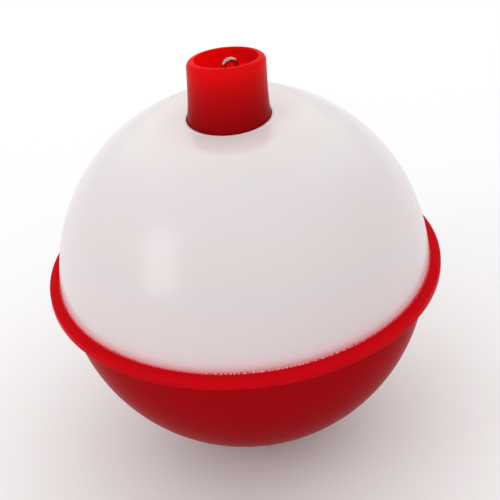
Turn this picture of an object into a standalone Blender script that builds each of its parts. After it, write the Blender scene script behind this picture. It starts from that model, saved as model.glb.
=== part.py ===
"""Push-button bobber float: a two-part ball, a spring-loaded push button and a wire with a line hook at
each end. Metres, +Z up, origin at the centre of the flat foot under the ball."""

import math

import bmesh
import bpy

MM = 0.001

# Overall sizes
RIM_RADIUS = 25.4 * MM  # outside of the rim band, half of the nominal 2 in size
BUTTON_RISE = 7.5 * MM  # button top above the flat round its hole
FOOT_RADIUS = 4.5 * MM
FOOT_DROP = 1.85 * MM  # foot face below the lowest point of the ball
TOP_FLAT = 2.0 * MM  # height that the flat round the button takes off the dome

# Shells
WALL = 1.35 * MM
RIM_OVERHANG = 1.4 * MM  # rim band outside the dome
LOWER_STEP = 0.45 * MM  # the lower ball is this much smaller than the dome
RIM_TOP = 1.15 * MM  # above the ball's centre
RIM_BOTTOM = -0.2 * MM
RIM_CORNER = 0.35 * MM
LEDGE = 0.5 * MM  # seat of the dome's edge, from the ball's centre
SMALL_ROUND = 0.2 * MM
TUBE_WALL = 1.1 * MM
TUBE_END = -12.0 * MM  # lower end of the guide tube, from the ball's centre
SOCKET_DEPTH = 2.0 * MM
SEAT_HEIGHT = 4.5 * MM  # spring seat above the foot face

# Button
SKIRT_RADIUS = 5.0 * MM
BUTTON_TAPER = 0.2 * MM  # the button's top is this much narrower than its skirt, in radius
SKIRT_WALL = 1.0 * MM
SKIRT_LENGTH = 15.0 * MM  # below the web
LIP_OUTER = 1.0 * MM
LIP_INNER = 0.2 * MM
CUP_DEPTH = 3.2 * MM
WEB = 2.6 * MM

# Wire hook and spring
WIRE = 0.6 * MM
BEND_RADIUS = 0.8 * MM  # of the wire's centre line
HOOK_TURN = math.radians(20.0)  # heading of both hook tips, from +X towards +Y
TOP_TIP_DEPTH = 1.3 * MM  # hook tip below the cup floor
FOOT_TIP_HEIGHT = 2.6 * MM  # hook tip above the foot face
SPRING_WIRE = 0.5 * MM
SPRING_TURNS = 12
END_TURNS = 1.5
END_PITCH = 0.75 * MM

# Fits
GAP = 0.3 * MM
SLIDE_GAP = 0.3 * MM
SPRING_GAP = 0.4 * MM  # round the coil inside the skirt
POST_EASE = 0.2 * MM  # the post is this much wider inside than the skirt

STEPS_SHELL = 72
STEPS_BUTTON = 48
ARC_STEPS = 6
COIL_POINTS = 12

DOME_RADIUS = RIM_RADIUS - RIM_OVERHANG
LOWER_RADIUS = DOME_RADIUS - LOWER_STEP
CENTRE = LOWER_RADIUS + FOOT_DROP
BORE = SKIRT_RADIUS + SLIDE_GAP
TUBE_RADIUS = BORE + TUBE_WALL
FLAT_HEIGHT = DOME_RADIUS - TOP_FLAT  # above the ball's centre
CREST = CENTRE + FLAT_HEIGHT + BUTTON_RISE
CUP_FLOOR = CREST - CUP_DEPTH
WEB_BOTTOM = CUP_FLOOR - WEB
WIRE_HOLE = WIRE / 2 + GAP
TIP_REACH = 2 * BEND_RADIUS  # from the axis to the hook tips
CUP_FLOOR_RADIUS = TIP_REACH + WIRE_HOLE + GAP
SKIRT_BORE = SKIRT_RADIUS - SKIRT_WALL
SPRING_RADIUS = SKIRT_BORE - SPRING_GAP - SPRING_WIRE / 2  # of the wire's centre line
SPRING_BORE = SKIRT_BORE + POST_EASE
SOCKET_RADIUS = TUBE_RADIUS + GAP
SOCKET_FLOOR = CENTRE + TUBE_END - GAP


def clear_scene():
    for obj in list(bpy.data.objects):
        bpy.data.objects.remove(obj, do_unlink=True)


def new_collection(name, hidden=False):
    collection = bpy.data.collections.new(name)
    bpy.context.scene.collection.children.link(collection)
    collection.hide_render = hidden
    return collection


def material(name, color, roughness, metallic=0.0, alpha=1.0):
    made = bpy.data.materials.new(name)
    made.use_nodes = True
    shader = made.node_tree.nodes["Principled BSDF"]
    shader.inputs["Base Color"].default_value = (*color, 1.0)
    shader.inputs["Roughness"].default_value = roughness
    shader.inputs["Metallic"].default_value = metallic
    shader.inputs["Alpha"].default_value = alpha
    made.diffuse_color = (*color, alpha)
    return made


def arc(centre, radius, start, end, steps=ARC_STEPS):
    """Points (r, z) on an arc, angles in degrees from the outward direction."""
    points = []
    for i in range(steps + 1):
        angle = math.radians(start + (end - start) * i / steps)
        points.append((centre[0] + radius * math.cos(angle), centre[1] + radius * math.sin(angle)))
    return points


def ball_arc(radius, start_height, end_height, steps):
    """Points (r, z) on a ball round the common centre, between two heights above that centre."""
    start = math.degrees(math.asin(start_height / radius))
    end = math.degrees(math.asin(end_height / radius))
    return arc((0.0, CENTRE), radius, start, end, steps)


def height_at(radius, distance):
    """Height above its centre at which a ball is this far from the axis."""
    return math.sqrt(radius**2 - distance**2)


def turned(name, profile, steps, collection, finish):
    """A solid of revolution from a closed profile of (r, z) points."""
    mesh = bpy.data.meshes.new(name)
    shape = bmesh.new()
    verts = [shape.verts.new((r, 0.0, z)) for r, z in profile]
    for first, second in zip(verts, verts[1:] + verts[:1]):
        shape.edges.new((first, second))
    shape.to_mesh(mesh)
    shape.free()
    obj = bpy.data.objects.new(name, mesh)
    collection.objects.link(obj)
    screw = obj.modifiers.new("Turn", "SCREW")
    screw.axis = "Z"
    screw.angle = math.tau
    screw.steps = steps
    screw.render_steps = steps
    screw.use_merge_vertices = True
    screw.merge_threshold = 0.00001
    screw.use_smooth_shade = True
    obj.data.materials.append(finish)
    return obj


def upper_shell(collection, finish):
    """White dome, flat round the button, with its guide tube, as one moulding."""
    edge = LEDGE + GAP
    inner = DOME_RADIUS - WALL
    ceiling = FLAT_HEIGHT - WALL
    flat = CENTRE + FLAT_HEIGHT
    profile = [(BORE + SMALL_ROUND, flat)]
    profile += ball_arc(DOME_RADIUS, FLAT_HEIGHT, edge, 18)
    profile += ball_arc(inner, edge, ceiling, 12)
    profile.append((TUBE_RADIUS, CENTRE + ceiling))
    profile.append((TUBE_RADIUS, CENTRE + TUBE_END))
    profile.append((BORE, CENTRE + TUBE_END))
    profile.append((BORE, flat - SMALL_ROUND))
    return turned("upper_shell", profile, STEPS_SHELL, collection, finish)


def lower_shell(collection, finish):
    """Red bowl with the rim band, the centre post with its spring seat, and the foot."""
    inner = LOWER_RADIUS - WALL
    mouth = DOME_RADIUS + GAP
    post = SPRING_BORE + WALL
    band_low = CENTRE + RIM_BOTTOM
    profile = arc((RIM_RADIUS - RIM_CORNER, CENTRE + RIM_TOP - RIM_CORNER), RIM_CORNER, 90, 0)
    profile += arc((RIM_RADIUS - SMALL_ROUND, band_low + SMALL_ROUND), SMALL_ROUND, 0, -90, 3)
    profile += ball_arc(LOWER_RADIUS, RIM_BOTTOM, -height_at(LOWER_RADIUS, FOOT_RADIUS), 16)
    profile += arc((FOOT_RADIUS - SMALL_ROUND, SMALL_ROUND), SMALL_ROUND, 0, -90, 3)
    profile.append((WIRE_HOLE, 0.0))
    profile.append((WIRE_HOLE, SEAT_HEIGHT))
    profile.append((SPRING_BORE, SEAT_HEIGHT))
    profile.append((SPRING_BORE, SOCKET_FLOOR))
    profile.append((SOCKET_RADIUS, SOCKET_FLOOR))
    profile.append((SOCKET_RADIUS, SOCKET_FLOOR + SOCKET_DEPTH))
    profile.append((SOCKET_RADIUS + TUBE_WALL, SOCKET_FLOOR + SOCKET_DEPTH))
    profile.append((SOCKET_RADIUS + TUBE_WALL, SOCKET_FLOOR - WALL))
    profile.append((post, SOCKET_FLOOR - WALL))
    profile += ball_arc(inner, -height_at(inner, post), LEDGE, 12)
    profile.append((mouth, CENTRE + LEDGE))
    profile.append((mouth, CENTRE + RIM_TOP))
    return turned("lower_shell", profile, STEPS_SHELL, collection, finish)


def push_button(collection, finish):
    """Dished plunger with a long hollow skirt."""
    crest_radius = SKIRT_RADIUS - BUTTON_TAPER - LIP_OUTER
    mouth = crest_radius - LIP_INNER
    skirt_end = WEB_BOTTOM - SKIRT_LENGTH
    cup_low = CUP_FLOOR - (CREST - LIP_INNER)
    profile = arc((crest_radius, CREST - LIP_OUTER), LIP_OUTER, 90, 0)
    profile.append((SKIRT_RADIUS, CENTRE + FLAT_HEIGHT - SMALL_ROUND))
    profile.append((SKIRT_RADIUS, skirt_end + SMALL_ROUND))
    profile.append((SKIRT_RADIUS - SMALL_ROUND, skirt_end))
    profile.append((SKIRT_BORE, skirt_end))
    profile.append((SKIRT_BORE, WEB_BOTTOM))
    profile.append((WIRE_HOLE, WEB_BOTTOM))
    profile.append((WIRE_HOLE, CUP_FLOOR))
    for i in range(ARC_STEPS + 1):
        angle = math.pi / 2 * i / ARC_STEPS
        across = CUP_FLOOR_RADIUS + (mouth - CUP_FLOOR_RADIUS) * math.sin(angle)
        profile.append((across, CREST - LIP_INNER + cup_low * math.cos(angle)))
    profile += arc((crest_radius, CREST - LIP_INNER), LIP_INNER, 180, 90, 4)[1:-1]
    return turned("push_button", profile, STEPS_BUTTON, collection, finish)


def heading(distance, z):
    """A point this far from the axis along the heading of the hook tips."""
    return (distance * math.cos(HOOK_TURN), distance * math.sin(HOOK_TURN), z)


def wire_mesh(name, points, thickness, collection, finish):
    """A round wire along the points, as a closed mesh."""
    curve = bpy.data.curves.new(name + "_path", "CURVE")
    curve.dimensions = "3D"
    curve.bevel_depth = thickness / 2
    curve.bevel_resolution = 2
    curve.use_fill_caps = True
    spline = curve.splines.new("POLY")
    spline.points.add(len(points) - 1)
    for spot, point in zip(spline.points, points):
        spot.co = (*point, 1.0)
    path = bpy.data.objects.new(name + "_path", curve)
    collection.objects.link(path)
    bpy.context.view_layer.update()
    graph = bpy.context.evaluated_depsgraph_get()
    mesh = bpy.data.meshes.new_from_object(path.evaluated_get(graph))
    bpy.data.objects.remove(path, do_unlink=True)
    shape = bmesh.new()
    shape.from_mesh(mesh)
    bmesh.ops.remove_doubles(shape, verts=shape.verts, dist=0.001 * MM)
    bmesh.ops.recalc_face_normals(shape, faces=shape.faces)
    for face in shape.faces:
        face.smooth = len(face.verts) == 4
    shape.to_mesh(mesh)
    shape.free()
    mesh.materials.clear()
    mesh.materials.append(finish)
    obj = bpy.data.objects.new(name, mesh)
    collection.objects.link(obj)
    return obj


def hook_wire(collection, finish):
    """One wire along the axis, bent into a small hook at each end."""
    top = CREST - WIRE / 2 - BEND_RADIUS
    low = GAP + WIRE / 2 + BEND_RADIUS
    points = [heading(TIP_REACH, CUP_FLOOR - TOP_TIP_DEPTH)]
    for r, z in arc((BEND_RADIUS, top), BEND_RADIUS, 0, 180, 12):
        points.append(heading(r, z))
    for r, z in arc((BEND_RADIUS, low), BEND_RADIUS, -180, 0, 12):
        points.append(heading(r, z))
    points.append(heading(TIP_REACH, FOOT_TIP_HEIGHT))
    return wire_mesh("hook_wire", points, WIRE, collection, finish)


def compression_spring(collection, finish):
    """Light coil between the seat in the lower shell and the web of the button."""
    low = SEAT_HEIGHT + GAP + SPRING_WIRE / 2
    high = WEB_BOTTOM - GAP - SPRING_WIRE / 2
    pitch = (high - low - 2 * END_TURNS * END_PITCH) / (SPRING_TURNS - 2 * END_TURNS)
    points = []
    for i in range(SPRING_TURNS * COIL_POINTS + 1):
        turn = i / COIL_POINTS
        closed_low = min(turn, END_TURNS)
        closed_high = max(turn - (SPRING_TURNS - END_TURNS), 0.0)
        open_turns = turn - closed_low - closed_high
        z = low + END_PITCH * (closed_low + closed_high) + pitch * open_turns
        angle = math.tau * turn
        points.append((SPRING_RADIUS * math.cos(angle), SPRING_RADIUS * math.sin(angle), z))
    return wire_mesh("compression_spring", points, SPRING_WIRE, collection, finish)


def slot_cutter(name, low, high, cutters):
    """A round-ended slot from the axis to the hook tips, a wire hole wide."""
    mesh = bpy.data.meshes.new(name)
    shape = bmesh.new()
    rings = []
    for z in (low, high):
        ring = []
        for centre, start in ((TIP_REACH, -90), (0.0, 90)):
            for along, side in arc((centre, 0.0), WIRE_HOLE, start, start + 180, 10):
                x, y, _ = heading(along, z)
                x -= side * math.sin(HOOK_TURN)
                y += side * math.cos(HOOK_TURN)
                ring.append(shape.verts.new((x, y, z)))
        rings.append(ring)
    lower, upper = rings
    shape.faces.new(list(reversed(lower)))
    shape.faces.new(upper)
    for i, corner in enumerate(lower):
        j = (i + 1) % len(lower)
        shape.faces.new((corner, lower[j], upper[j], upper[i]))
    shape.to_mesh(mesh)
    shape.free()
    return cutter_object(name, mesh, cutters)


def cutter_object(name, mesh, cutters):
    obj = bpy.data.objects.new(name, mesh)
    obj.hide_render = True
    obj.display_type = "WIRE"
    cutters.objects.link(obj)
    return obj


def cut(obj, cutter):
    boolean = obj.modifiers.new("Cut " + cutter.name, "BOOLEAN")
    boolean.operation = "DIFFERENCE"
    boolean.solver = "EXACT"
    boolean.object = cutter


def cut_wire_slots(button, bowl, cutters):
    """Blind slots that hide the two bends and their tips."""
    over = 1.0 * MM
    top_floor = CUP_FLOOR - TOP_TIP_DEPTH - GAP
    cut(button, slot_cutter("cup_slot", top_floor, CUP_FLOOR + over, cutters))
    cut(bowl, slot_cutter("foot_slot", -over, FOOT_TIP_HEIGHT + GAP, cutters))


def main():
    clear_scene()
    parts = new_collection("bobber_float")
    cutters = new_collection("cutters", hidden=True)
    upper_shell(parts, material("white_dome", (0.86, 0.82, 0.82), 0.25))
    bowl = lower_shell(parts, material("red_bowl", (0.55, 0.01, 0.02), 0.35))
    button = push_button(parts, material("red_button", (0.60, 0.01, 0.02), 0.40))
    hook_wire(parts, material("steel_hook", (0.62, 0.61, 0.58), 0.25, metallic=1.0))
    compression_spring(parts, material("steel_spring", (0.60, 0.60, 0.60), 0.30, metallic=1.0))
    cut_wire_slots(button, bowl, cutters)


main()
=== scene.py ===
"""Push-button bobber float, finished look: a milky dome, a red bowl with a rounded rim band, a dished
push button, the sprung wire hook and the ragged weld line. Metres, +Z up, in the CAD's frame."""

import math

import bpy
import numpy as np
from mathutils import Matrix, Vector


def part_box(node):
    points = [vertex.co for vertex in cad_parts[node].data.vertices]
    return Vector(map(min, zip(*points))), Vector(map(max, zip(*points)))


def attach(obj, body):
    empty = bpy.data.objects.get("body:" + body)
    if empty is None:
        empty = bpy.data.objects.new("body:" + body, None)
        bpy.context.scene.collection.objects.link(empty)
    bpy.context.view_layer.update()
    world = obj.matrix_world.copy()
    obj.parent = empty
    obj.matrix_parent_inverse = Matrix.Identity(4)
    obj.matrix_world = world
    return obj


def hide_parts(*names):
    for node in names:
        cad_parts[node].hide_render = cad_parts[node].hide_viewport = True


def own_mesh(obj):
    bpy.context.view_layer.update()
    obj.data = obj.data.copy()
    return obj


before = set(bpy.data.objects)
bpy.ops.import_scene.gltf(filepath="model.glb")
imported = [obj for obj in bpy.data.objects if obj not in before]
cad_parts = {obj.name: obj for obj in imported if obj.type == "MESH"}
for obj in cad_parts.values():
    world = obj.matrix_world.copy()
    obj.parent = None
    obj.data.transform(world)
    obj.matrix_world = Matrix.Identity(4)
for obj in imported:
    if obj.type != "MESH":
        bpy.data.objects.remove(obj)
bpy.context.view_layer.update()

MM = 0.001
TURN = 2 * math.pi

# Sizes read from the CAD's boxes
BOWL_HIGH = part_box("lower_shell")[1]
DOME_LOW, DOME_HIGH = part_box("upper_shell")
BUTTON_LOW, BUTTON_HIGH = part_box("push_button")
WIRE_LOW, WIRE_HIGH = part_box("hook_wire")
COIL_LOW, COIL_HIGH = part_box("compression_spring")
RIM_RADIUS = BOWL_HIGH.x
DOME_RADIUS = DOME_HIGH.x
SKIRT_RADIUS = BUTTON_HIGH.x
CREST = BUTTON_HIGH.z

# Sizes that the boxes don't hold
RIM_TOP = 1.15 * MM
CENTRE = BOWL_HIGH.z - RIM_TOP
RIM_BOTTOM = CENTRE - 0.2 * MM
RIM_CORNER = 0.35 * MM
LEDGE = CENTRE + 0.5 * MM
WALL = 1.35 * MM
LOWER_RADIUS = DOME_RADIUS - 0.45 * MM
FOOT_RADIUS = 4.5 * MM
BORE = SKIRT_RADIUS + 0.3 * MM
TUBE_RADIUS = BORE + 1.1 * MM
FLAT_HEIGHT = CENTRE + DOME_RADIUS - 2.0 * MM
SEAT = 4.5 * MM
BUTTON_TAPER = 0.2 * MM
CUP_FLOOR = CREST - 3.2 * MM
WEB_BOTTOM = CUP_FLOOR - 2.6 * MM
SKIRT_BORE = SKIRT_RADIUS - 1.0 * MM
WIRE = 0.6 * MM
WIRE_HOLE = WIRE / 2 + 0.3 * MM
BEND = 0.8 * MM
HOOK_TURN = math.radians(20.0)
TOP_TIP = CUP_FLOOR - 1.3 * MM
FOOT_TIP = 2.6 * MM
SLOT_GAP = 0.3 * MM
SLOT_DEPTHS = (0.0, 0.03 * MM, 0.12 * MM)
SLOT_FLARES = (0.12 * MM, 0.04 * MM, 0.0)
COIL_WIRE = 0.5 * MM
COIL_TURNS = 12
END_TURNS = 1.5
END_PITCH = 0.75 * MM

# Where the finished look departs from the CAD
HOLE = BORE - 0.08 * MM
HOLE_LIP = 0.12 * MM
RIDGE_RADIUS = BORE + 0.3 * MM
RIDGE_WIDTH = 0.12 * MM
RIDGE_HEIGHT = 0.06 * MM
SKIRT_EXTRA = 0.19 * MM
LIP_OUTER = 0.75 * MM
LIP_INNER = 0.18 * MM
BUTTON_LEAN = 0.35 * MM
LIP_RAISE = 0.17 * MM
LIP_TILT = 0.13
WELD_FRONT = math.radians(277)
WELD_SPREAD = math.radians(24)

# Points round each turned ring
AROUND = 384


# ---------------------------------------------------------------- surfaces


def arc(centre, radius, start, end, steps):
    """Points (r, z) on a circle round centre, from one angle to another, in degrees."""
    angle = np.radians(np.linspace(start, end, steps + 1))
    return np.stack([centre[0] + radius * np.cos(angle), centre[1] + radius * np.sin(angle)], -1)


def ball(radius, start, end, steps):
    """Points (r, z) on the ball of this radius, between two heights given from the ground."""
    low, high = (math.degrees(math.asin((z - CENTRE) / radius)) for z in (start, end))
    return arc((0.0, CENTRE), radius, low, high, steps)


def line(start, end, steps):
    """Points after start, evenly along a straight line up to end."""
    share = np.linspace(0, 1, steps + 1)[1:, None]
    return np.array(start) + (np.array(end) - np.array(start)) * share


def ball_height(radius, distance):
    """Height above the ground of the upper half of a ball, this far from the axis."""
    return CENTRE + math.sqrt(radius**2 - distance**2)


def rings_of(profile, around):
    """Each profile point (r, z) swept round the axis: x = r cos u, y = r sin u."""
    u = np.arange(around) * TURN / around
    r, z = profile[:, 0, None], profile[:, 1, None]
    return np.stack([r * np.cos(u), r * np.sin(u), z + 0 * u], -1)


def slot_ring(reach, radius, z, around):
    """A round-ended outline from the axis to reach along the hook heading. Each direction u from its
    middle meets the outline where a ray leaves the two end circles and the strip between them."""
    u = np.arange(around) * TURN / around - HOOK_TURN
    half = reach / 2
    side = np.abs(np.sin(u))
    over = np.abs(np.cos(u))
    flat = radius / np.maximum(side, 1e-9)
    capped = half * over + np.sqrt(np.maximum(radius**2 - (half * side) ** 2, 0.0))
    length = np.where(flat * over <= half, flat, capped)
    along = half + length * np.cos(u)
    across = length * np.sin(u)
    x = along * math.cos(HOOK_TURN) - across * math.sin(HOOK_TURN)
    y = along * math.sin(HOOK_TURN) + across * math.cos(HOOK_TURN)
    return np.stack([x, y, np.full(around, z)], -1)


def ring_surface(name, rings, closed=True):
    """A skin over rings of points: face (k, u) joins ring k to ring k + 1. Where closed, the last
    ring joins the first, and otherwise each end ring is filled with one face."""
    count, around = rings.shape[:2]
    k = np.arange(count if closed else count - 1)[:, None]
    u = np.arange(around)[None, :]
    after_k, after_u = (k + 1) % count, (u + 1) % around
    quads = np.stack(
        [k * around + u, after_k * around + u, after_k * around + after_u, k * around + after_u], -1
    ).reshape(-1, 4)
    faces = quads.tolist()
    if not closed:
        faces.append(list(range(around)))
        faces.append(list(range(count * around - 1, (count - 1) * around - 1, -1)))
    mesh = bpy.data.meshes.new(name)
    mesh.from_pydata(rings.reshape(-1, 3), [], faces)
    if signed_volume(mesh) < 0:
        mesh.flip_normals()
    mesh.shade_smooth()
    mesh.update()
    obj = bpy.data.objects.new(name, mesh)
    bpy.context.scene.collection.objects.link(obj)
    return obj


def signed_volume(mesh):
    """Sum of the tetrahedra from the origin to each triangle: negative where faces point inwards."""
    mesh.calc_loop_triangles()
    points = np.empty(len(mesh.vertices) * 3)
    mesh.vertices.foreach_get("co", points)
    corners = np.empty(len(mesh.loop_triangles) * 3, np.int32)
    mesh.loop_triangles.foreach_get("vertices", corners)
    a, b, c = points.reshape(-1, 3)[corners.reshape(-1, 3)].transpose(1, 0, 2)
    return float(np.einsum("ij,ij->i", a, np.cross(b, c)).sum() / 6)


def wave_noise(u, seed, slowest, fastest, count):
    """A sum of sine waves round a ring, with whole wave numbers and seeded phases, mostly within -1
    to 1."""
    rng = np.random.default_rng(seed)
    waves = rng.integers(slowest, fastest, count)[:, None]
    phases = rng.uniform(0, TURN, count)[:, None]
    weights = rng.uniform(0.4, 1.0, count)[:, None]
    return (weights * np.sin(waves * u + phases)).sum(0) / np.sqrt((weights**2).sum() * 1.2)


def tube_rings(path, radius, sides):
    """A round profile carried along a path: each ring lies across the path's direction there, turned
    by the shortest way from the ring before. The radius may change along the path."""
    along = np.gradient(path, axis=0)
    along /= np.linalg.norm(along, axis=1, keepdims=True)
    across = np.empty_like(along)
    first = np.cross(along[0], (0.31, 0.83, 0.47))
    across[0] = first / np.linalg.norm(first)
    for i in range(1, len(path)):
        turned = across[i - 1] - along[i] * np.dot(across[i - 1], along[i])
        across[i] = turned / np.linalg.norm(turned)
    other = np.cross(along, across)
    v = (np.arange(sides) * TURN / sides)[None, :, None]
    radius = np.broadcast_to(radius, len(path))[:, None, None]
    return path[:, None] + radius * (np.cos(v) * across[:, None] + np.sin(v) * other[:, None])


# ---------------------------------------------------------------- pieces


def dome_height(r):
    """Height of the dome's skin at r: the lower of the ball and a faintly crowned flat, joined by a
    soft shoulder (a polynomial smooth minimum), with a fine moulded ridge round the hole."""
    soft = 0.5 * MM
    crown_height, crown_radius = 0.1 * MM, 10 * MM
    ball_z = CENTRE + np.sqrt(DOME_RADIUS**2 - r**2)
    flat_z = FLAT_HEIGHT + crown_height * (1 - (r / crown_radius) ** 2)
    share = np.clip(0.5 + 0.5 * (ball_z - flat_z) / soft, 0, 1)
    ridge = RIDGE_HEIGHT * np.exp(-(((r - RIDGE_RADIUS) / RIDGE_WIDTH) ** 2))
    return ball_z + (flat_z - ball_z) * share - soft * share * (1 - share) + ridge


def dome():
    """Milky upper half with its guide tube: a turned skin with a wall inside it, open at the bottom
    edge. The wall's ceiling lies under the flat and meets the tube in a small round."""
    edge = LEDGE + 0.3 * MM
    inner = DOME_RADIUS - WALL
    ceiling = FLAT_HEIGHT - WALL
    corner = 0.5 * MM
    crown_reach = 14 * MM
    ceiling_radius = math.sqrt(inner**2 - (ceiling - CENTRE) ** 2)
    across = np.linspace(HOLE + HOLE_LIP, crown_reach, 110)
    crown = np.stack([across, dome_height(across)], -1)
    lip_height = crown[0, 1] - HOLE_LIP
    profile = np.concatenate(
        [
            arc((HOLE + HOLE_LIP, lip_height), HOLE_LIP, 180, 96, 7),
            crown,
            ball(DOME_RADIUS, crown[-1, 1], edge, 90)[1:],
            line((DOME_RADIUS, edge), (inner, edge), 2),
            ball(inner, edge, ceiling, 60)[1:],
            line((ceiling_radius, ceiling), (TUBE_RADIUS + corner, ceiling), 4),
            arc((TUBE_RADIUS + corner, ceiling - corner), corner, 90, 180, 5)[1:],
            line((TUBE_RADIUS, ceiling - corner), (TUBE_RADIUS, DOME_LOW.z), 20),
            line((TUBE_RADIUS, DOME_LOW.z), (HOLE, DOME_LOW.z), 2),
            line((HOLE, DOME_LOW.z), (HOLE, lip_height), 24)[:-1],
        ]
    )
    piece = ring_surface("dome_shell", rings_of(profile, AROUND))
    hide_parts("upper_shell")
    return piece


def bowl():
    """Red lower half. Turned rings run down the outside (rim band, ball, foot), then over the foot's
    face, where they pass from round to slot-shaped, up the slot and back to round, and up the inside
    (spring seat, post, socket for the dome's tube, ball, ledge)."""
    inner = LOWER_RADIUS - WALL
    mouth = DOME_RADIUS + 0.04 * MM
    post = SKIRT_BORE + 0.2 * MM + WALL
    socket = TUBE_RADIUS + 0.3 * MM
    socket_floor = DOME_LOW.z - 0.3 * MM
    socket_top = socket_floor + 2.0 * MM
    socket_outer = socket + 1.1 * MM
    band_edge = 0.06 * MM
    low_round = 0.3 * MM
    foot_round = 0.3 * MM
    fillet = 0.45 * MM
    foot_sink = 0.15 * MM
    face_reach = 2.9 * MM
    band_flat = RIM_RADIUS - RIM_CORNER
    neck = RIM_BOTTOM - fillet
    neck_radius = math.sqrt(LOWER_RADIUS**2 - (neck - CENTRE) ** 2)
    foot_top = 2 * CENTRE - ball_height(LOWER_RADIUS, FOOT_RADIUS + fillet)
    outside = np.concatenate(
        [
            arc((mouth + band_edge, BOWL_HIGH.z - band_edge), band_edge, 160, 90, 4),
            line((mouth + band_edge, BOWL_HIGH.z), (band_flat, BOWL_HIGH.z), 5)[:-1],
            arc((band_flat, BOWL_HIGH.z - RIM_CORNER), RIM_CORNER, 90, 0, 12),
            arc((RIM_RADIUS - low_round, RIM_BOTTOM + low_round), low_round, 0, -90, 7),
            line((RIM_RADIUS - low_round, RIM_BOTTOM), (neck_radius + fillet, RIM_BOTTOM), 4),
            arc((neck_radius + fillet, neck), fillet, 90, 180, 6)[1:],
            ball(LOWER_RADIUS, neck, foot_top, 110)[1:],
            arc((FOOT_RADIUS + fillet, foot_top - foot_sink), fillet, 130, 180, 5)[1:],
            arc((FOOT_RADIUS - foot_round, foot_round), foot_round, 0, -90, 7),
        ]
    )
    inside = np.concatenate(
        [
            line((WIRE_HOLE, FOOT_TIP + SLOT_GAP), (WIRE_HOLE, SEAT), 3),
            line((WIRE_HOLE, SEAT), (post - WALL, SEAT), 6),
            line((post - WALL, SEAT), (post - WALL, socket_floor), 10),
            line((post - WALL, socket_floor), (socket, socket_floor), 3),
            line((socket, socket_floor), (socket, socket_top), 3),
            line((socket, socket_top), (socket_outer, socket_top), 2),
            line((socket_outer, socket_top), (socket_outer, socket_floor - WALL), 4),
            line((socket_outer, socket_floor - WALL), (post, socket_floor - WALL), 3),
            ball(inner, 2 * CENTRE - ball_height(inner, post), LEDGE, 60),
            line((inner, LEDGE), (mouth, LEDGE), 3),
            line((mouth, LEDGE), (mouth, BOWL_HIGH.z - band_edge), 5),
        ]
    )
    face = line((FOOT_RADIUS - foot_round, 0.0), (face_reach, 0.0), 4)
    roof = FOOT_TIP + SLOT_GAP
    heights = (*SLOT_DEPTHS, 0.6 * MM, 1.2 * MM, 2.0 * MM, roof)
    flares = (*SLOT_FLARES, 0.0, 0.0, 0.0, 0.0)
    slot = [slot_ring(2 * BEND, WIRE_HOLE + flare, z, AROUND) for z, flare in zip(heights, flares)]
    slot.append(slot_ring(0.0, WIRE_HOLE, roof, AROUND))
    rings = np.concatenate(
        [rings_of(outside, AROUND), rings_of(face, AROUND), np.stack(slot), rings_of(inside, AROUND)]
    )
    piece = ring_surface("bowl_shell", rings)
    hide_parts("lower_shell")
    return piece


def button():
    """Dished plunger: rounded lip, cup with a slot for the wire's tip, web, and a hollow skirt. Above
    the dome it stands a little askew: x grows with the share of the rise, and z with its square,
    most towards -Y."""
    crest_radius = SKIRT_RADIUS - BUTTON_TAPER - LIP_OUTER
    mouth = crest_radius - LIP_INNER
    floor_radius = 2 * BEND + WIRE_HOLE + 0.3 * MM
    shoulder = CREST - LIP_OUTER
    hips = FLAT_HEIGHT - 0.2 * MM
    hem = 0.25 * MM
    bow = np.linspace(0, 1, 25)[1:]
    fuller = SKIRT_RADIUS + SKIRT_EXTRA
    flare = BUTTON_TAPER * (1 - bow**1.6) + SKIRT_EXTRA * (1 - bow**6)
    side = np.stack([fuller - flare, shoulder + (hips - shoulder) * bow], -1)
    around_cup = np.radians(np.linspace(0, 90, 17))
    cup = np.stack(
        [
            floor_radius + (mouth - floor_radius) * np.sin(around_cup),
            CREST - LIP_INNER - (CREST - LIP_INNER - CUP_FLOOR) * np.cos(around_cup),
        ],
        -1,
    )
    outside = np.concatenate(
        [
            cup,
            arc((crest_radius, CREST - LIP_INNER), LIP_INNER, 180, 90, 8)[1:],
            arc((crest_radius, shoulder), LIP_OUTER, 90, 0, 14)[1:],
            side,
            line((fuller, hips), (fuller, BUTTON_LOW.z + hem), 16),
            arc((fuller - hem, BUTTON_LOW.z + hem), hem, 0, -90, 5)[1:],
            line((fuller - hem, BUTTON_LOW.z), (SKIRT_BORE, BUTTON_LOW.z), 2),
            line((SKIRT_BORE, BUTTON_LOW.z), (SKIRT_BORE, WEB_BOTTOM), 16),
            line((SKIRT_BORE, WEB_BOTTOM), (WIRE_HOLE, WEB_BOTTOM), 6),
        ]
    )
    bottom = TOP_TIP - SLOT_GAP
    heights = [bottom, bottom + 0.5 * MM] + [CUP_FLOOR - depth for depth in reversed(SLOT_DEPTHS)]
    flares = (0.0, 0.0, *reversed(SLOT_FLARES))
    slot = [slot_ring(0.0, WIRE_HOLE, bottom, AROUND)]
    slot += [slot_ring(2 * BEND, WIRE_HOLE + flare, z, AROUND) for z, flare in zip(heights, flares)]
    rings = np.concatenate([rings_of(outside, AROUND), np.stack(slot)])
    rise = np.clip((rings[..., 2] - hips) / (CREST - hips), 0, 1)
    rings[..., 0] += BUTTON_LEAN * rise
    rings[..., 2] += (LIP_RAISE - LIP_TILT * rings[..., 1]) * rise**2
    piece = ring_surface("button_plunger", rings)
    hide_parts("push_button")
    return piece


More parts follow.
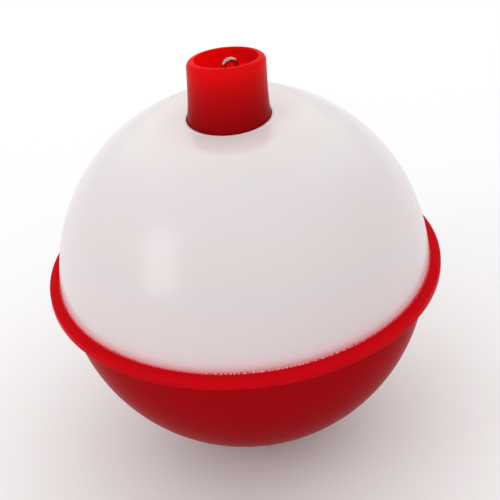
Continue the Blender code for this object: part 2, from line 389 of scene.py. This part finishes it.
def hook():
    """Wire along the axis with a half-circle bend at each end. The path lies in one upright plane
    through the hook heading, and both cut ends are domed."""
    top = WIRE_HIGH.z - WIRE / 2 - BEND
    low = WIRE_LOW.z + WIRE / 2 + BEND
    flat = np.concatenate(
        [
            line((2 * BEND, TOP_TIP - 0.01 * MM), (2 * BEND, top), 14),
            arc((BEND, top), BEND, 0, 180, 40)[1:],
            line((0.0, top), (0.0, low), 60)[:-1],
            arc((BEND, low), BEND, -180, 0, 40),
            line((2 * BEND, low), (2 * BEND, FOOT_TIP), 10),
        ]
    )
    heading = np.array([math.cos(HOOK_TURN), math.sin(HOOK_TURN), 0.0])
    path = flat[:, :1] * heading + flat[:, 1:] * np.array([0.0, 0.0, 1.0])
    cut = np.radians([12.0, 40.0, 65.0, 90.0])
    narrow = np.sin(cut) * WIRE / 2
    rise = np.stack([0 * cut, 0 * cut, 0.1 * MM * (1 - np.cos(cut))], -1)
    middle = path[1:-1]
    path = np.concatenate([path[0] + rise, middle, path[-1] - rise[::-1]])
    radius = np.concatenate([narrow, np.full(len(middle), WIRE / 2), narrow[::-1]])
    piece = ring_surface("steel_hook_wire", tube_rings(path, radius, 32), closed=False)
    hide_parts("hook_wire")
    return piece


def coil_height(turn):
    """Height of the coil's centre line: slow closed turns at both ends, even ones between."""
    low, high = COIL_LOW.z + COIL_WIRE / 2, COIL_HIGH.z - COIL_WIRE / 2
    pitch = (high - low - 2 * END_TURNS * END_PITCH) / (COIL_TURNS - 2 * END_TURNS)
    closed_low = np.minimum(turn, END_TURNS)
    closed_high = np.maximum(turn - (COIL_TURNS - END_TURNS), 0.0)
    return low + END_PITCH * (closed_low + closed_high) + pitch * (turn - closed_low - closed_high)


def coil(name, first, last):
    """Part of the spring: x = r cos t, y = r sin t, at the coil's height for that turn."""
    turn = np.linspace(first, last, int((last - first) * 40) + 1)
    radius = COIL_HIGH.x - COIL_WIRE / 2
    path = np.stack(
        [radius * np.cos(TURN * turn), radius * np.sin(TURN * turn), coil_height(turn)], -1
    )
    piece = ring_surface(name, tube_rings(path, COIL_WIRE / 2, 16), closed=False)
    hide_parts("compression_spring")
    return piece


def weld_line():
    """The melt squeezed up between dome and band: half a turn of v carries a fine bead from the band
    to the dome, and its width and its height wander with seeded waves of u. A point attribute holds
    the share of white flash, which comes in dashes along the bead's crest, most at the front."""
    around, across = 2400, 9
    u = np.arange(around) * TURN / around
    teeth = np.clip(0.5 + 0.5 * wave_noise(u, 3, 90, 330, 26), 0, 1)
    drift = np.clip(0.5 + 0.5 * wave_noise(u, 5, 2, 14, 8), 0, 1)
    width = (0.12 + 0.14 * teeth * (0.4 + drift)) * MM
    height = (0.06 + 0.26 * teeth**1.5 * (0.3 + drift)) * MM
    v = np.linspace(0, math.pi, across)[:, None]
    foot = BOWL_HIGH.z - 0.05 * MM
    z = foot + height * np.sin(v)
    skin = np.sqrt(DOME_RADIUS**2 - (z - CENTRE) ** 2) - 0.03 * MM
    r = skin + width / 2 * (1 + np.cos(v))
    r = np.concatenate([r, r[-1:], r[:1]])
    z = np.concatenate([z, z[-1:] - 0.25 * MM, z[:1] - 0.25 * MM])
    rings = np.stack([r * np.cos(u), r * np.sin(u), z], -1)
    piece = ring_surface("weld_line", rings)
    front = np.exp(-(((u - WELD_FRONT) / WELD_SPREAD) ** 2))
    dashes = np.clip(1.6 * (wave_noise(u, 11, 120, 420, 30) + 0.25), 0, 1)
    crest = np.concatenate([np.sin(v[:, 0]) ** 2, [0.0, 0.0]])[:, None]
    flash = np.clip(dashes * (0.05 + front), 0, 1) * crest
    layer = piece.data.attributes.new("flash", "FLOAT", "POINT")
    layer.data.foreach_set("value", flash.ravel().astype(np.float32))
    return piece


# ---------------------------------------------------------------- materials


def srgb(text):
    """An sRGB hex colour as linear RGBA."""
    values = [int(text[i : i + 2], 16) / 255 for i in (1, 3, 5)]
    linear = [v / 12.92 if v <= 0.04045 else ((v + 0.055) / 1.055) ** 2.4 for v in values]
    return (*linear, 1.0)


def connect(node, **links):
    """Each input, by name (a _ for each space) or by i and its number, takes a value or a socket."""
    for key, value in links.items():
        numbered = key[0] == "i" and key[1:].isdigit()
        socket = node.inputs[int(key[1:]) if numbered else key.replace("_", " ")]
        if isinstance(value, bpy.types.NodeSocket):
            node.id_data.links.new(value, socket)
        else:
            socket.default_value = value


def add(tree, kind, settings=None, stops=(), **links):
    """One node with its settings, its colour stops (position, sRGB hex) and its links."""
    node = tree.nodes.new(kind)
    for key, value in (settings or {}).items():
        setattr(node, key, value)
    for number, (position, colour) in enumerate(stops):
        elements = node.color_ramp.elements
        element = elements[number] if number < len(elements) else elements.new(position)
        element.position = position
        element.color = srgb(colour)
    connect(node, **links)
    return node


def new_material(name):
    """A new material with its node tree and its shader."""
    made = bpy.data.materials.new(name)
    made.use_nodes = True
    return made, made.node_tree, made.node_tree.nodes["Principled BSDF"]


def height_share(tree, low, high):
    """0 at one height of the object and 1 at another."""
    place = add(tree, "ShaderNodeTexCoord").outputs["Object"]
    height = add(tree, "ShaderNodeSeparateXYZ", Vector=place).outputs["Z"]
    share = add(tree, "ShaderNodeMapRange", Value=height, From_Min=low, From_Max=high)
    return share.outputs["Result"]


def radius_share(tree, near, far):
    """0 at one distance from the object's axis and 1 at another."""
    place = add(tree, "ShaderNodeTexCoord").outputs["Object"]
    level = add(tree, "ShaderNodeVectorMath", {"operation": "MULTIPLY"}, i0=place, i1=(1, 1, 0))
    reach = add(tree, "ShaderNodeVectorMath", {"operation": "LENGTH"}, i0=level.outputs["Vector"])
    reach = reach.outputs["Value"]
    share = add(tree, "ShaderNodeMapRange", Value=reach, From_Min=near, From_Max=far)
    return share.outputs["Result"]


def ripples(tree, size, strength, depth, detail=3.0):
    """Fine relief from noise whose grain is this many metres."""
    place = add(tree, "ShaderNodeTexCoord").outputs["Object"]
    grain = add(tree, "ShaderNodeTexNoise", Vector=place, Scale=1 / size, Detail=detail)
    height = grain.outputs["Fac"]
    bump = add(tree, "ShaderNodeBump", Height=height, Strength=strength, Distance=depth)
    return bump.outputs["Normal"]


def milky_polystyrene():
    """Injection-moulded milky polystyrene: a hard clear gloss over a body that scatters light. Its
    colour holds a painted red glow near the weld, standing in for the bowl's light bleeding into it,
    and grows a little lighter towards the top.
    Round the hole it holds a painted pink glow from the button, a painted highlight line at the
    hole's edge and painted light that lifts the button's shade."""
    made, tree, shader = new_material("milky_polystyrene_moulded")
    # Body colour by height: a painted red glow of the bowl's light near the weld, then a little
    # lighter towards the top.
    body_and_painted_weld_glow = [
        (0.0, "#E6505A"),
        (0.006, "#F0949C"),
        (0.012, "#ECAEB4"),
        (0.022, "#E8BCC1"),
        (0.035, "#E4C4C8"),
        (0.061, "#E1CBCE"),
        (0.09, "#DCCED0"),
        (0.5, "#DFD5D6"),
        (0.9, "#E4DDDD"),
    ]
    # Painted light round the hole: a painted pink glow from the button on the bore, a painted
    # highlight line at the hole's edge, and painted light lifting the shade the button casts round
    # it.
    painted_hole_light = [(0.21, "#F0CCCE"), (0.34, "#FFFDFD"), (0.7, "#ECE6E6")]
    height = height_share(tree, CENTRE + 1.1 * MM, CENTRE + 24 * MM)
    body = add(tree, "ShaderNodeValToRGB", stops=body_and_painted_weld_glow, Fac=height)
    reach = radius_share(tree, BORE - 0.3 * MM, BORE + 0.7 * MM)
    edge = add(tree, "ShaderNodeValToRGB", stops=painted_hole_light, Fac=reach)
    # Within 6.2 mm the painted hole light, fading to the body colour by 10.5 mm.
    colour = add(
        tree,
        "ShaderNodeMix",
        {"data_type": "RGBA"},
        i0=radius_share(tree, 6.2 * MM, 10.5 * MM),
        i6=edge.outputs["Color"],
        i7=body.outputs["Color"],
    )
    connect(
        shader,
        Base_Color=colour.outputs[2],
        Roughness=0.24,
        IOR=1.55,
        Subsurface_Weight=0.15,
        Subsurface_Radius=(1.0, 0.85, 0.85),
        Subsurface_Scale=1.2 * MM,
        Normal=ripples(tree, 6 * MM, 0.25, 0.03 * MM, 1.0),
    )
    return made


def moulded_red_painted_light(name, low, high, stops):
    """Injection-moulded red with painted light and shade by height, lighter up the piece as if lit
    from above, and with faint flow clouds, a soft gloss and slight flow ripples in the skin."""
    made, tree, shader = new_material(name)
    place = add(tree, "ShaderNodeTexCoord").outputs["Object"]
    cloud = add(tree, "ShaderNodeTexNoise", Vector=place, Scale=1 / (7 * MM), Detail=2.0)
    drift = add(tree, "ShaderNodeMapRange", Value=cloud.outputs["Fac"], To_Min=-0.03, To_Max=0.03)
    # Painted light and shade: the colour ramp follows height, so the piece is lighter higher up as if
    # lit from above.
    height = height_share(tree, low, high)
    share = add(tree, "ShaderNodeMath", {"operation": "ADD"}, i0=height, i1=drift.outputs["Result"])
    colour = add(tree, "ShaderNodeValToRGB", stops=stops, Fac=share.outputs["Value"])
    connect(
        shader,
        Base_Color=colour.outputs["Color"],
        IOR=1.53,
        Normal=ripples(tree, 2.5 * MM, 0.3, 0.02 * MM),
    )
    return made, tree, shader, colour.outputs["Color"]


def bowl_red():
    """Polystyrene moulded with red pigment: deep red, with painted light making it brighter up into
    the band and painted shade darker down the ball.
    """
    # Painted shade low on the ball, painted light up in the band.
    stops = [(0.0, "#840810"), (0.85, "#9C0911"), (0.94, "#AC0912"), (0.975, "#C80914")]
    made, _, shader, _ = moulded_red_painted_light("red_polystyrene_moulded", 0.0, BOWL_HIGH.z, stops)
    connect(shader, Roughness=0.28, Specular_IOR_Level=0.006)
    return made


def button_red():
    """Polyethylene moulded with red pigment: waxy, with painted light brightening it up towards the
    lip, and a painted glow, the brightest red, inside the cup, standing in for light through the wall
    and lifting the cup's own shade."""
    # Painted light: brighter up towards the lip, painted shade down the skirt.
    stops = [(0.0, "#8A0509"), (0.45, "#A80609"), (0.8, "#C6080C"), (1.0, "#DC0A0F")]
    made, tree, shader, skin = moulded_red_painted_light("red_polyethylene_moulded", FLAT_HEIGHT, CREST, stops)
    outside = radius_share(tree, 3.7 * MM, 4.1 * MM)
    # Painted glow inside the cup, standing in for light through the thin wall and lifting the cup's
    # shade.
    cup = srgb("#F6090A")
    colour = add(tree, "ShaderNodeMix", {"data_type": "RGBA"}, i0=outside, i6=cup, i7=skin)
    connect(shader, Base_Color=colour.outputs[2], Roughness=0.36, Specular_IOR_Level=0.025)
    return made


def drawn_steel(name):
    """Drawn stainless spring wire: bright, and mottled finely where the die has scored it."""
    made, tree, shader = new_material(name)
    place = add(tree, "ShaderNodeTexCoord").outputs["Object"]
    grain = add(tree, "ShaderNodeTexNoise", Vector=place, Scale=1 / (0.25 * MM), Detail=2.0)
    greys = [(0.3, "#8E8A82"), (0.7, "#BDB9B0")]
    colour = add(tree, "ShaderNodeValToRGB", stops=greys, Fac=grain.outputs["Fac"])
    connect(shader, Base_Color=colour.outputs["Color"], Metallic=1.0, Roughness=0.22)
    return made


def weld_melt():
    """Polystyrene melted at the weld: red where the bowl flowed, white where the dome's edge was
    dragged up."""
    made, tree, shader = new_material("weld_melt")
    flash = add(tree, "ShaderNodeAttribute", {"attribute_name": "flash"})
    melt = [(0.0, "#DC1622"), (0.4, "#EC8A96"), (1.0, "#FFF6F6")]
    colour = add(tree, "ShaderNodeValToRGB", stops=melt, Fac=flash.outputs["Fac"])
    connect(shader, Base_Color=colour.outputs["Color"], Roughness=0.35)
    return made


# ---------------------------------------------------------------- setting


def floor():
    """Plain pale floor, wide enough to fill every view."""
    side = 3.0
    mesh = bpy.data.meshes.new("floor")
    corners = [(-side, -side, 0), (side, -side, 0), (side, side, 0), (-side, side, 0)]
    mesh.from_pydata(corners, [], [(0, 1, 2, 3)])
    obj = bpy.data.objects.new("floor", mesh)
    bpy.context.scene.collection.objects.link(obj)
    made, _, shader = new_material("pale_paper")
    connect(shader, Base_Color=srgb("#F7F7F7"), Roughness=0.9)
    mesh.materials.append(made)


def softbox(name, azimuth, elevation, wide, tall, radiance, lean=0.0):
    """A rectangular soft box half a metre from the float. Azimuth 0 is the camera's side, positive
    towards +X. Its width and height are given as angles, and its power from its radiance."""
    reach = 0.5
    width, height = (2 * reach * math.tan(math.radians(angle) / 2) for angle in (wide, tall))
    light = bpy.data.lights.new(name, "AREA")
    light.shape = "RECTANGLE"
    light.size = width
    light.size_y = height
    light.energy = radiance * math.pi * width * height
    obj = bpy.data.objects.new(name, light)
    bpy.context.scene.collection.objects.link(obj)
    a, e = math.radians(azimuth), math.radians(elevation)
    toward = Vector((math.sin(a) * math.cos(e), -math.cos(a) * math.cos(e), math.sin(e)))
    aim = toward.to_track_quat("Z", "Y").to_matrix().to_4x4()
    place = Matrix.Translation(Vector((0, 0, CENTRE)) + toward * reach)
    obj.matrix_world = place @ aim @ Matrix.Rotation(math.radians(lean), 4, "Z")


def lights():
    """A white room, a narrow window box to the left, a faint broad fill to the right and a broad box
    reaching from behind to overhead."""
    world = bpy.data.worlds.new("studio")
    bpy.context.scene.world = world
    world.use_nodes = True
    connect(world.node_tree.nodes["Background"], Color=srgb("#FFFFFF"), Strength=0.82)
    softbox("window_box", -58, 26, 19, 34, 2.1, 22)
    softbox("fill_box", 45, 35, 70, 60, 0.15)
    softbox("back_box", 172, 50, 95, 64, 0.5)
    # The film-like transform would pale the two reds.
    bpy.context.scene.view_settings.view_transform = "Standard"


def camera():
    """A portrait lens seven ball radii away, 34 degrees up, rolled so that the float leans left."""
    elevation, roll = 0.590, -0.1045
    shift_right, shift_up = 0.0042, 0.0117
    back = Vector((0, -math.cos(elevation), math.sin(elevation)))
    right = Vector((1, 0, 0))
    up = back.cross(right)
    rolled_right = right * math.cos(roll) + up * math.sin(roll)
    rolled_up = up * math.cos(roll) - right * math.sin(roll)
    forward = (-back + rolled_right * shift_right + rolled_up * shift_up).normalized()
    final_right = (rolled_right - forward * rolled_right.dot(forward)).normalized()
    final_up = final_right.cross(forward)
    turn = Matrix((final_right, final_up, -forward)).transposed()
    lens = bpy.data.cameras.new("camera")
    lens.lens = 92.4
    lens.sensor_width = 36.0
    lens.clip_start = 0.005
    obj = bpy.data.objects.new("camera", lens)
    bpy.context.scene.collection.objects.link(obj)
    place = Vector((0, 0, CENTRE)) + back * 7.0 * DOME_RADIUS
    obj.matrix_world = Matrix.Translation(place) @ turn.to_4x4()
    bpy.context.scene.camera = obj


def finish_piece(piece, body, surface):
    """One material on a piece that rides on one body."""
    piece.data.materials.clear()
    piece.data.materials.append(surface)
    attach(piece, body)


def build():
    """Every piece on its body. The spring is two halves that meet at its middle turn: the lower one
    rides on the float's body and the upper one on the hook."""
    finish_piece(dome(), "float_body", milky_polystyrene())
    finish_piece(bowl(), "float_body", bowl_red())
    finish_piece(weld_line(), "float_body", weld_melt())
    finish_piece(button(), "button", button_red())
    finish_piece(hook(), "hook", drawn_steel("drawn_stainless_wire"))
    coil_steel = drawn_steel("coiled_stainless_wire")
    middle = COIL_TURNS / 2
    lower = coil("spring_lower_coils", 0, middle)
    finish_piece(lower, "float_body", coil_steel)
    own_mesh(lower)
    upper = coil("spring_upper_coils", middle, COIL_TURNS)
    finish_piece(upper, "hook", coil_steel)
    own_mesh(upper)


build()
floor()
lights()
camera()
